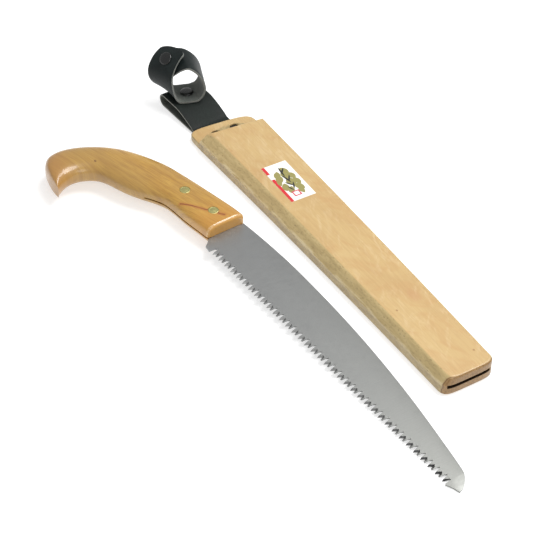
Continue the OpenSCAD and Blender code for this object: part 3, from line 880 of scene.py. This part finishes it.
def blade_outline(back):
    """The blade's outline as (point, tag), and the ridge lines of its teeth."""
    heel = [(-46, -18), (11, -18), (11.5, -22.4), (13, -22.9), (15, -25.2), (16.6, -27.4), (21.4, -27.9)]
    outline = [(p, "") for p in heel]
    ridges = []
    for k in range(GULLETS):
        last = k == GULLETS - 1
        x = FIRST_GULLET + k * PITCH
        y = tip_y(x)
        outline += tooth_pair(x)[:7] if last else tooth_pair(x)
        for ridge in [A_RIDGE] if last else [A_RIDGE, B_RIDGE]:
            ridges.append([(x + px * PITCH, y + py * DEPTH) for px, py in ridge])
    nose = [(x + 3.9, y + 5.4), (x + 4.6, y + 5.1), (x + 4.8, y + 0.72), (x + 5.4, y), (278.5, -23.4), TIP]
    outline += [(p, "") for p in nose]
    outline += [(p, "spine") for p in back]
    return outline + [((11, 3), ""), ((-46, -9), "")], ridges


def tooth_lean(x, y):
    """How far the teeth are set to one side and the other, more towards their points."""
    if not 20 < x < 273:
        return 0
    share = min(max((tip_y(x) + 0.85 * DEPTH - y) / (0.85 * DEPTH), 0), 1)
    phase = ((x - FIRST_GULLET) / PITCH) % 1
    return (TOOTH_SET if 0.08 < phase < 0.52 else -TOOTH_SET) * share


def blade(steel, ground):
    """The blade, with set teeth ground on one face each and a thinned spine."""
    back = [tuple(p) for p in smooth([np.array(p) for p in SPINE], 6)]
    outline, ridges = blade_outline(back)
    inner = []
    for a, b in zip(back, back[1:]):
        step = unit(np.subtract(b, a))
        inner.append((a[0] - SPINE_W * step[1], a[1] + SPINE_W * step[0]))
    holes = [circle(*at, RIVET_BORE_R, 32) for at in (FRONT_RIVET, REAR_RIVET)]
    loop = [p for p, _ in outline]
    plan, tris, tags = triangulate([loop] + holes, ridges + [inner])
    kept = []
    for t in tris:
        middle = middle_of(plan, t)
        if inside(middle, loop) and not any(inside(middle, h) for h in holes):
            kept.append(t)
    kinds = [outline[tag[1]][1] if tag and tag[0] == 0 else "" for tag in tags]
    tops = [{"A": -GROUND_Z, "spine": SPINE_Z}.get(kind, BLADE_T / 2) for kind in kinds]
    bottoms = [{"B": GROUND_Z, "spine": -SPINE_Z}.get(kind, -BLADE_T / 2) for kind in kinds]
    # the ground faces take the second material, which is painted dark as shade
    slots_top = [int(any(tops[i] < 0 for i in t) and mean_phase(plan, t) < GROUND_PHASE) for t in kept]
    slots_bottom = [int(any(bottoms[i] > 0 for i in t)) for t in kept]
    leans = [tooth_lean(x, y) for x, y in plan]
    tops = [z + lean for z, lean in zip(tops, leans)]
    bottoms = [z + lean for z, lean in zip(bottoms, leans)]
    return plate("saw_blade", plan, kept, tops, bottoms, SAW, [steel, ground], slots_top, slots_bottom)


# ---- handle ----
# The grip's sections, as upper x and y, lower x and y, and half its thickness
STATIONS = [
    (9, 8.8, 9, -21.9, 9.5), (0, 7.7, 0, -23.1, 9.5), (-13, 5.4, -14, -25, 9.5),
    (-26, 3.1, -26, -25.8, 9.5), (-39, 1, -36, -27.4, 9.5), (-51, -1, -44.5, -31.4, 9.5),
    (-64, -3.8, -53, -36.8, 9.5), (-76, -8.4, -62, -41.6, 9.5), (-88, -14.4, -71, -44.9, 9.5),
    (-99, -21.8, -79.5, -47.6, 9.5), (-108.2, -31, -86, -50.8, 9.5), (-115.4, -41, -89.8, -55, 9.5),
    (-120.8, -52.5, -92.6, -60.5, 9.5), (-122.8, -63, -93.6, -66, 9.5), (-120.6, -72, -93.2, -70.8, 9.4),
    (-113.6, -78, -91.8, -74.8, 9), (-104, -80.8, -90.2, -78.2, 8), (-96, -81.8, -88.8, -80.6, 6.4),
    (-89, -82, -87.8, -82, 4.6),
]
FRONT_ROUND = 2.4
HANDLE_SIDES = 96
BACK_POWER = 2.6
FRONT_POWER = 4.4
BELLY_POWER = 2
KERF = [(-50, -7), (-50, -60), (16, -60), (16, 4)]
KERF_Z = 0.66
RIVET_SEAT = 8.5
RIVET_TOP = 9.52
RIVET_R = 3.7
BARREL_R = 2.5


def handle_ring(station, inset):
    """The handle's section at a station, squarer towards the front but round under its belly."""
    upper_x, upper_y, lower_x, lower_y, thick = station
    middle = ((upper_x + lower_x) / 2, (upper_y + lower_y) / 2)
    half = ((upper_x - lower_x) / 2, (upper_y - lower_y) / 2)
    share = 1 - inset / hypot(*half)
    square = BACK_POWER + (FRONT_POWER - BACK_POWER) * ease((upper_x + 60) / 60)
    ring = []
    for j in range(HANDLE_SIDES):
        angle = 360 * (j + 0.5) / HANDLE_SIDES
        across, up = squircle(angle, BELLY_POWER if 180 < angle < 270 else square)
        x = middle[0] + half[0] * share * across
        y = middle[1] + half[1] * share * across
        ring.append((x, y, (thick - inset) * up))
    return ring


def handle(wood):
    """The grip, with a rounded front face, a kerf for the blade and bores for the rivets."""
    first = STATIONS[0]
    rings = []
    for inset, drop in reversed(rounding(FRONT_ROUND, 6)):
        x = FRONT_X - drop
        rings.append(handle_ring((x, first[1], x, *first[3:]), inset))
    rings += [handle_ring(tuple(s), 0) for s in smooth(STATIONS, 7)]
    points, faces = loft(rings)
    body = make("handle_wood", placed(points, SAW), faces, [wood], 50)
    cutters = [prism("kerf", KERF, -KERF_Z, KERF_Z, SAW)]
    for x, y in (FRONT_RIVET, REAR_RIVET):
        at = SAW @ Matrix.Translation((x, y, 0))
        cutters.append(prism("barrel_hole", circle(0, 0, RIVET_BORE_R), -8.7, 8.7, at))
        for z0, z1 in ((RIVET_SEAT, 12), (-12, -RIVET_SEAT)):
            cutters.append(prism("head_hole", circle(0, 0, RIVET_R + 0.02), z0, z1, at))
    return carve(body, cutters, 50)


def rivet_profile(radius, foot, rim):
    """A flat rivet head with a turned-down edge, from its foot to its slightly domed top."""
    return [
        (0, foot), (radius, foot), (radius, rim - 0.35), (radius - 0.12, rim - 0.12),
        (radius - 0.4, rim), (radius - 0.75, rim - 0.02), (radius - 0.95, rim - 0.1),
        (radius - 1.3, rim - 0.06), (radius * 0.4, rim + 0.04), (0, rim + 0.06),
    ]


# ---- straps ----
FLAT_STEPS = 10
CORNER = 0.42


def section(width, thick):
    """Points round a strap's section as (across, out), and each side's material slot."""
    edge, half = width / 2 - CORNER, thick / 2
    bend = [(edge + CORNER * 0.65, half - CORNER * 0.25), (edge + CORNER, half - CORNER)]
    outer = [(-edge + 2 * edge * k / FLAT_STEPS, half) for k in range(FLAT_STEPS + 1)] + bend
    left = [(-w, n) for w, n in bend]
    loop = outer + [(w, -n) for w, n in reversed(outer)] + [(w, -n) for w, n in left] + left[::-1]
    slots = [0] * (FLAT_STEPS + 1) + [2] * 3 + [1] * (FLAT_STEPS + 2) + [2] * 3 + [0]
    return loop, slots


def strap(name, stations, width, thick, materials):
    """A strap along stations of (middle, direction of its width, outward normal)."""
    loop, slots = section(width, thick)
    rings = [[c + w * a + n * b for a, b in loop] for c, w, n in stations]
    points, faces = loft(rings)
    count = len(loop)
    face_slots = [slots[j % count] for j in range(count * (len(rings) - 1))] + [2, 2]
    return make(name, points, faces, materials, 40, face_slots)


def hanger_path():
    """The folded hanger strap, from its lower clamped end out round the loop and back."""
    skew = radians(HANGER_SKEW)
    wide = np.array([-sin(skew), cos(skew), 0])
    half = HANGER_T / 2

    def at(u, z):
        return np.array(HANGER @ Vector((u, 0, z))), wide

    def clamped(z):
        xs = [TONGUE_X + CLAMP - CLAMP * k / 7 for k in range(8)]
        return [(np.array([x, STRAP_Y, z]), np.array([0, 1, 0])) for x in xs]

    us = [0.3 + (LOOP_U - 0.3) * k / 36 for k in range(37)]
    path = clamped(HINGE_Z - half)
    path += [at(u, -half + (LOW_Z + half) * ease((u - 1) / 10)) for u in us]
    middle, radius = (HIGH_Z + LOW_Z) / 2, (HIGH_Z - LOW_Z) / 2
    for angle in range(-80, 81, 8):
        a = radians(angle)
        path.append(at(LOOP_U + radius * cos(a), middle + radius * sin(a)))
    for u in reversed(us):
        rise = ease((u - 1) / 4) * (1 - max(1 - (u - 1) / 24, 0) ** 1.4)
        path.append(at(u, half + (HIGH_Z - half) * rise))
    return framed(path + clamped(HINGE_Z + half)[::-1])


def framed(path):
    """Adds the outward normal to each (middle, width direction) of a path."""
    stations = []
    for i, (c, w) in enumerate(path):
        step = path[min(i + 1, len(path) - 1)][0] - path[max(i - 1, 0)][0]
        stations.append((c, unit(w), unit(np.cross(w, step))))
    return stations


# The band's middle line in its own frame, as y, x, z, and its width's yaw and lift in degrees
BAND_STATIONS = [
    (-14.6, -8.6, 21.3, 12, -24), (-11.3, -8, 23.9, 12, -23), (-5.9, -5.6, 27.6, 7, -15),
    (0.6, -3.2, 29, 0, -6), (7, -2, 24.5, -4, 0), (11, -1.5, 17.5, -3, 2),
    (12.3, -1, 10.5, 0, 0), (11.1, -0.7, 5.2, 0, 0), (8.4, -0.3, 1.6, 0, 0), (4.8, 0, 0, 0, 0),
    (-4.8, 0, 0, 0, 0), (-9.4, -0.4, 1.1, 6, 3), (-13.7, -0.9, 4.2, 18, 8), (-17.2, -1.2, 9, 32, 11),
    (-19, -2, 15.5, 42, 10),
]
FLAP_STATIONS = [
    (-19, -2, 15.5, 42, 10), (-17.8, -4, 22, 46, 6), (-13.4, -7.6, 28.2, 43, 5),
    (-7.4, -10.8, 32.6, 38, 8), (-0.6, -13, 34.6, 34, 9),
]
BAND_STEPS = 8
BASE_STATION = 9.5
TIP_START = 2.8
TIP_LENGTH = 0.55
SNAP_STATION = 2
CAP_R = 5


def width_way(yaw, lift):
    """The direction of the band's width in its own frame."""
    yaw, lift = radians(yaw), radians(lift)
    return Vector((cos(lift) * cos(yaw), cos(lift) * sin(yaw), sin(lift)))


def band_path(first, last, tip=False):
    """The band's stations in the row frame, as framed() makes them, narrowing at a rounded tip."""
    stations = [np.array(s, float) for s in BAND_STATIONS + FLAP_STATIONS[1:]]
    count = round((last - first) * BAND_STEPS)
    places = [(first + (last - first) * k / count, 1) for k in range(count + 1)]
    if tip:
        for angle in range(15, 86, 14):
            a = radians(angle)
            places.append((last + TIP_LENGTH * sin(a), cos(a)))
    turn = BAND.to_3x3()
    path = []
    for place, share in places:
        y, x, z, yaw, lift = curve_at(stations, place)
        path.append((np.array(BAND @ Vector((x, y, max(z, 0)))), np.array(turn @ width_way(yaw, lift))))
    return [(c, w * share, n) for (c, w, n), (_, share) in zip(framed(path), places)]


def snap_matrix():
    """The snap's frame: on the flap's middle, with z along the snap's axis."""
    def middle(s):
        return Vector((s[1], s[0], s[2]))

    wide = width_way(*FLAP_STATIONS[SNAP_STATION][3:])
    fine = smooth([np.array(s, float) for s in FLAP_STATIONS], 4)
    index = SNAP_STATION * 4
    axis = wide.cross(middle(fine[index + 1]) - middle(fine[index - 1])).normalized()
    turn = turn_z(degrees(atan2(axis.y, axis.x))) @ Matrix.Rotation(acos(axis.z), 4, "Y")
    return BAND @ Matrix.Translation(middle(FLAP_STATIONS[SNAP_STATION])) @ turn


def dome(radius, foot, height):
    """A pressed cap: a rolled edge, a shoulder and a shallow crown."""
    return [
        (0, foot), (radius - 0.3, foot), (radius, foot + 0.18 * height), (radius, foot + 0.34 * height),
        (radius - 0.12, foot + 0.52 * height), (radius - 0.45, foot + 0.68 * height),
        (radius - 1, foot + 0.8 * height), (radius * 0.65, foot + 0.91 * height),
        (radius * 0.35, foot + 0.98 * height), (0, foot + height),
    ]


# ---- label ----
LABEL_T = 0.12


def leaf(x, y, length, width, turn):
    """A pointed leaf from (x, y), turned by that many degrees."""
    a = radians(turn)
    upper = [(k / 8 * length, width / 2 * sin(pi * k / 8) ** 0.8) for k in range(9)]
    shape = upper + [(u, -v) for u, v in upper[-2:0:-1]]
    return [(x + u * cos(a) - v * sin(a), y + u * sin(a) + v * cos(a)) for u, v in shape]


# Leaves and twigs, each as x, y, length, width and turn
LEAVES = [
    (-16, 2, 9, 4.6, 20), (-13, -2, 9, 5, -25), (-9, 4, 9, 5.4, 15), (-9, -3, 10, 5.6, -20),
    (-4, 1, 11, 7, 5), (-2, 5, 9, 4.6, 10), (1, -4, 9, 5.4, -15), (4, 2, 10, 5.6, 25),
    (6, -1, 8, 5, -30), (9, 3, 8, 4, 5), (-12, 1, 10, 5, 0), (-5, -6, 8, 3.4, -8),
]
TWIGS = [
    (-17, 1.2, 12, 1.5, -4), (-15, 4.5, 8, 1.3, -38), (-8, -1, 11, 1.5, 12), (-6, 4.2, 8, 1.3, -30),
    (0, -3.2, 8, 1.4, 35), (2, 2.6, 8, 1.3, -22), (5, -3.6, 6.5, 1.2, 20),
]


def label(inks):
    """A plain paper label with a broken red bar and a sprig of leaves."""
    shapes = [(bar(-21.5, -9.98, -12.6, -7.6), 1), (bar(-6.4, -9.98, 21.5, -7.6), 1)]
    for sprig, slot in ((LEAVES, 2), (TWIGS, 3)):
        shapes += [(leaf(*row), slot) for row in sprig]
    shapes += [(bar(11.6, -4.4, 17.4, 1.4), 4), (bar(12.6, -3.4, 16.4, 0.4), 0)]
    edge = bar(-21.5, -10, 21.5, 10)
    plan, tris, _ = triangulate([edge] + [s for s, _ in shapes], [])
    kept = [t for t in tris if inside(middle_of(plan, t), edge)]
    slots = []
    for t in kept:
        covering = [slot for shape, slot in shapes if inside(middle_of(plan, t), shape)]
        slots.append(covering[-1] if covering else 0)
    at = Matrix.Translation((-63, 2.5, SHEATH_T)) @ turn_z(-1.3)
    tops, bottoms = [LABEL_T] * len(plan), [0] * len(plan)
    return plate("paper_label", plan, kept, tops, bottoms, at, inks, slots, [0] * len(kept))


# ---- looks ----
birch = sheath_wood("birch")
rail_wood = sheath_wood("birch_core")
grip_wood = handle_wood()
strap_outer = leather("strap_leather", (0.0072, 0.011, 0.0092), (0.015, 0.021, 0.018), 0.6)
strap_inner = leather("strap_flesh", (0.055, 0.063, 0.054), (0.1, 0.11, 0.095), 0.85, 0.15, 1500, 0.5)
strap_edge = cut_edge("strap_edge", (0.21, 0.21, 0.19))
band_outer = leather("band_leather", (0.0062, 0.0105, 0.0105), (0.013, 0.02, 0.019), 0.48)
band_inner = leather("band_flesh", (0.088, 0.098, 0.088), (0.15, 0.16, 0.14), 0.8, 0.2, 1500, 0.5)
band_edge = cut_edge("band_edge", (0.21, 0.22, 0.205))
# the change from the heel's tone to the tip's is a painted reflection
steel = saw_steel("saw_steel", (0.332, 0.338, 0.34), (0.28, 0.284, 0.268), 0.42)
# painted shade: the teeth's ground faces are painted dark, darkest towards the tip
shaded_ground_steel = saw_steel("shaded_ground_steel", (0.25, 0.25, 0.245), (0.016, 0.016, 0.017), 0.3)
brass = metal("rivet_brass", (0.5, 0.47, 0.2), 0.42)
dull_metal = metal("dull_metal", (0.32, 0.31, 0.28), 0.45)
dark_rivet = metal("dark_rivet", (0.055, 0.048, 0.04), 0.55)
black_metal = metal("black_metal", (0.0075, 0.0082, 0.0082), 0.26, 0.3, 0.4)
inks = [
    ink("label_paper", (0.9, 0.89, 0.86)),
    ink("red_ink", (0.62, 0.022, 0.028)),
    ink("olive_ink", (0.3, 0.27, 0.085)),
    ink("dark_ink", (0.022, 0.022, 0.016)),
    ink("pink_ink", (0.6, 0.05, 0.09)),
]


# ---- build ----
def build_sheath():
    """The boards, the rails, the label and the rivets that clamp the hanger."""
    finish_piece(front_board(birch), "sheath", "birch", "front_board")
    finish_piece(back_board(birch), "sheath", "birch", "back_board")
    finish_piece(rail("spine_rail_wood", 1, rail_wood), "sheath", "birch_core", "spine_rail")
    finish_piece(rail("tooth_rail_wood", -1, rail_wood), "sheath", "birch_core", "tooth_rail")
    finish_piece(label(inks), "sheath", "label_paper", "label")
    washer = [(1.6, 0), (3, 0), (3.2, 0.15), (3.2, 0.5), (1.6, 0.5)]
    fittings = [
        ("strap_rivet", rivet_profile(3.2, BOARD_T - 1.4, BOARD_T - 0.9), dark_rivet, "strap_rivets"),
        ("strap_shank", rod(1.6, 0.1, 4.4), dull_metal, "strap_rivets"),
        ("strap_washer", washer, dull_metal, "strap_washers"),
    ]
    for index, y in enumerate(STRAP_RIVET_YS):
        at = Matrix.Translation((STRAP_RIVET_X, y, 0))
        for name, profile, material, node in fittings:
            fitting(f"{name}_{index}", profile, at, material, "sheath", "dull_metal", node)


def build_saw():
    """The grip, the blade and the two rivets through both."""
    finish_piece(handle(grip_wood), "saw", "varnished_wood", "handle")
    finish_piece(blade(steel, shaded_ground_steel), "saw", "saw_steel", "blade")
    cap = rivet_profile(RIVET_R, RIVET_SEAT, RIVET_TOP)
    barrel = rod(BARREL_R, -RIVET_SEAT, RIVET_SEAT)
    for name, (x, y) in (("front", FRONT_RIVET), ("rear", REAR_RIVET)):
        at = SAW @ Matrix.Translation((x, y, 0))
        under = at @ Matrix.Rotation(pi, 4, "X")
        fitting(f"{name}_rivet_cap", cap, at, brass, "saw", "rivet_brass", f"{name}_rivet_head")
        fitting(f"{name}_rivet_barrel", barrel, at, brass, "saw", "rivet_brass", f"{name}_rivet_stud")
        fitting(f"{name}_rivet_foot", cap, under, brass, "saw", "rivet_brass", f"{name}_rivet_stud")


def build_hanger():
    """The hanger strap, which bends just past the tongue, and the swivel rivet through it."""
    skin = [strap_inner, strap_outer, strap_edge]  # its path runs round the inside of the loop
    hanger = strap("hanger_leather", hanger_path(), HANGER_W, HANGER_T - 0.04, skin)
    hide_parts("hanger_strap", "strap_ends")
    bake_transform(hanger)
    at = HANGER @ Matrix.Translation((SWIVEL_U, 0, 0))
    cap_z = BAND_Z + BAND_T / 2 + SWIVEL_GAP
    shank = rod(1.7, HIGH_Z - 1, cap_z + 0.2)
    low = HIGH_Z - HANGER_T / 2
    washer = [(1.7, low), (1.7, low - 0.7), (3.5, low - 0.7), (4, low - 0.4), (4, low)]
    fitting("swivel_cap", dome(CAP_R, cap_z, 1.6), at, black_metal, "hanger", "black_metal", "swivel_rivet")
    fitting("swivel_shank", shank, at, black_metal, "hanger", "black_metal", "swivel_rivet")
    fitting("swivel_foot", washer, at, dull_metal, "hanger", "dull_metal", "swivel_washer")


def build_band():
    """The band, and the flap that goes on from it."""
    skin = [band_outer, band_inner, band_edge]
    under_band = strap("band_under", band_path(0, BASE_STATION), BAND_W, BAND_T, skin)
    finish_piece(under_band, "band", "band_leather", "retention_band")
    flap_end = len(BAND_STATIONS) - 1 + TIP_START
    over_band = strap("band_over", band_path(BASE_STATION, flap_end, True), BAND_W, BAND_T, skin)
    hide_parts("band_flap")
    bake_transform(over_band)


def build_snap():
    """The flap's cap and socket, and the band's stud and post under them."""
    at = snap_matrix()
    socket = [
        (0, -1), (3.7, -1), (4, -1.2), (4, -2.2), (3.8, -2.4),
        (2.45, -2.4), (2.3, -2.2), (2.45, -1.2), (0, -1.2),
    ]
    stud_z = -BAND_T / 2 - 2.9
    stud_shape = [
        (0, 0), (3.4, 0), (3.5, 0.2), (3.3, 0.4), (1.7, 0.5), (1.5, 1.2),
        (1.8, 1.8), (1.7, 2.2), (1.2, 2.4), (0, 2.4),
    ]
    stud = [(r, stud_z + rise) for r, rise in stud_shape]
    post_z = stud_z - 2
    post = [
        (0, post_z), (3.2, post_z), (3.5, post_z + 0.25), (3.4, post_z + 0.6),
        (1.5, post_z + 0.6), (1.5, stud_z), (0, stud_z),
    ]
    cap = dome(CAP_R, BAND_T / 2 - 0.3, 1.8)
    fitting("snap_dome", cap, at, black_metal, "flap", "black_metal", "snap_cap")
    fitting("snap_ring", socket, at, dull_metal, "flap", "dull_metal", "snap_socket")
    fitting("snap_knob", stud, at, dull_metal, "band", "dull_metal", "snap_stud")
    fitting("snap_foot", post, at, dull_metal, "band", "dull_metal", "snap_post")


build_sheath()
build_saw()
build_hanger()
build_band()
build_snap()


# ---- stage ----
FLOOR_REACH = 4000
FLOOR_Z = -0.2
SUBJECT = (0, -0.04, 0)  # in metres, as the lights' places are
LENS = 124.33
CAMERA_AT = (808.95, -545.56, 840.96)  # in millimetres
CAMERA_AIM = (-0.6391, 0.3906, -0.6626)
WORLD_STRENGTH = 0.55


def floor():
    """A wide sheet of white paper just under the object."""
    s = Shader("floor_paper", roughness=0.9, Emission_Color=(1, 1, 1, 1), Emission_Strength=0.55)
    s.colour((0.62, 0.62, 0.62))
    corners = bar(-FLOOR_REACH, -FLOOR_REACH, FLOOR_REACH, FLOOR_REACH)
    obj = make("floor", [(x, y, FLOOR_Z) for x, y in corners], [(0, 1, 2, 3)], [s.material])


def area_light(name, position, size, power_w):
    """A round soft light that faces the object."""
    light = bpy.data.lights.new(name, "AREA")
    light.shape = "DISK"
    light.size = size
    light.energy = power_w
    obj = linked(name, light)
    obj.location = position
    direction = Vector(SUBJECT) - Vector(position)
    obj.rotation_euler = direction.to_track_quat("-Z", "Y").to_euler()


def camera():
    """A camera with a long lens, held level from side to side."""
    data = bpy.data.cameras.new("camera")
    data.sensor_width = 36
    data.lens = LENS
    obj = linked("camera", data)
    forward = Vector(CAMERA_AIM).normalized()
    right = forward.cross(Vector((0, 0, 1))).normalized()
    up = right.cross(forward)
    turn = Matrix((right, up, -forward)).transposed()
    obj.matrix_world = Matrix.Translation(Vector(CAMERA_AT) * MM) @ turn.to_4x4()
    bpy.context.scene.camera = obj


def surroundings():
    """Even white light from all round, and colours shown without a film look."""
    world = bpy.data.worlds.new("studio")
    world.use_nodes = True
    background = world.node_tree.nodes["Background"]
    background.inputs[0].default_value = (1, 1, 1, 1)
    background.inputs[1].default_value = WORLD_STRENGTH
    bpy.context.scene.world = world
    bpy.context.scene.view_settings.view_transform = "Standard"


floor()
area_light("key", (0.1, 0.55, 1.3), 0.9, 17)
area_light("fill", (1.1, -0.3, 0.9), 0.8, 4)
camera()
surroundings()
